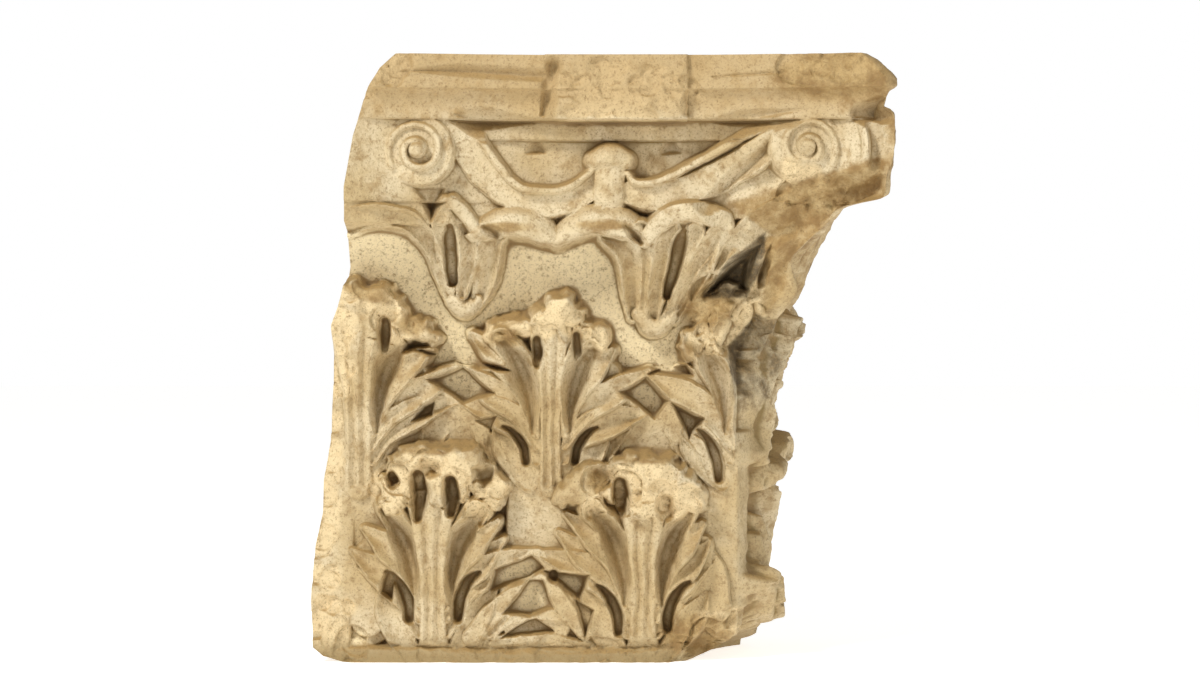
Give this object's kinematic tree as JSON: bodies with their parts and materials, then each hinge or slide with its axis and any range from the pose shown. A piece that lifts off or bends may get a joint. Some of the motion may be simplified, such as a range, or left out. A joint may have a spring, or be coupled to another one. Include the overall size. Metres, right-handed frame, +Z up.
{
  "type": "corinthian capital",
  "caption": "Carved marble capital for the corner of a pier: rows of acanthus leaves, leaf cups, spiral scrolls and a hollow-sided abacus, with a free horned corner and a flush left side.",
  "frame": {"origin": "on the lower bed, below the axis of the middle leaf and midway between the wall side and the front leaves", "axes": "+Z up from the lower bed to the upper bed; the carved front faces -Y, the flat wall side faces +Y; +X towards the free horned corner"},
  "size_m": [0.5422, 0.3783, 0.565],
  "materials": {
    "marble": "weathered hand-carved marble with a warm brown patina and pale broken patches"
  },
  "bodies": {
    "root": {"capital": "marble"}
  },
  "joints": []
}
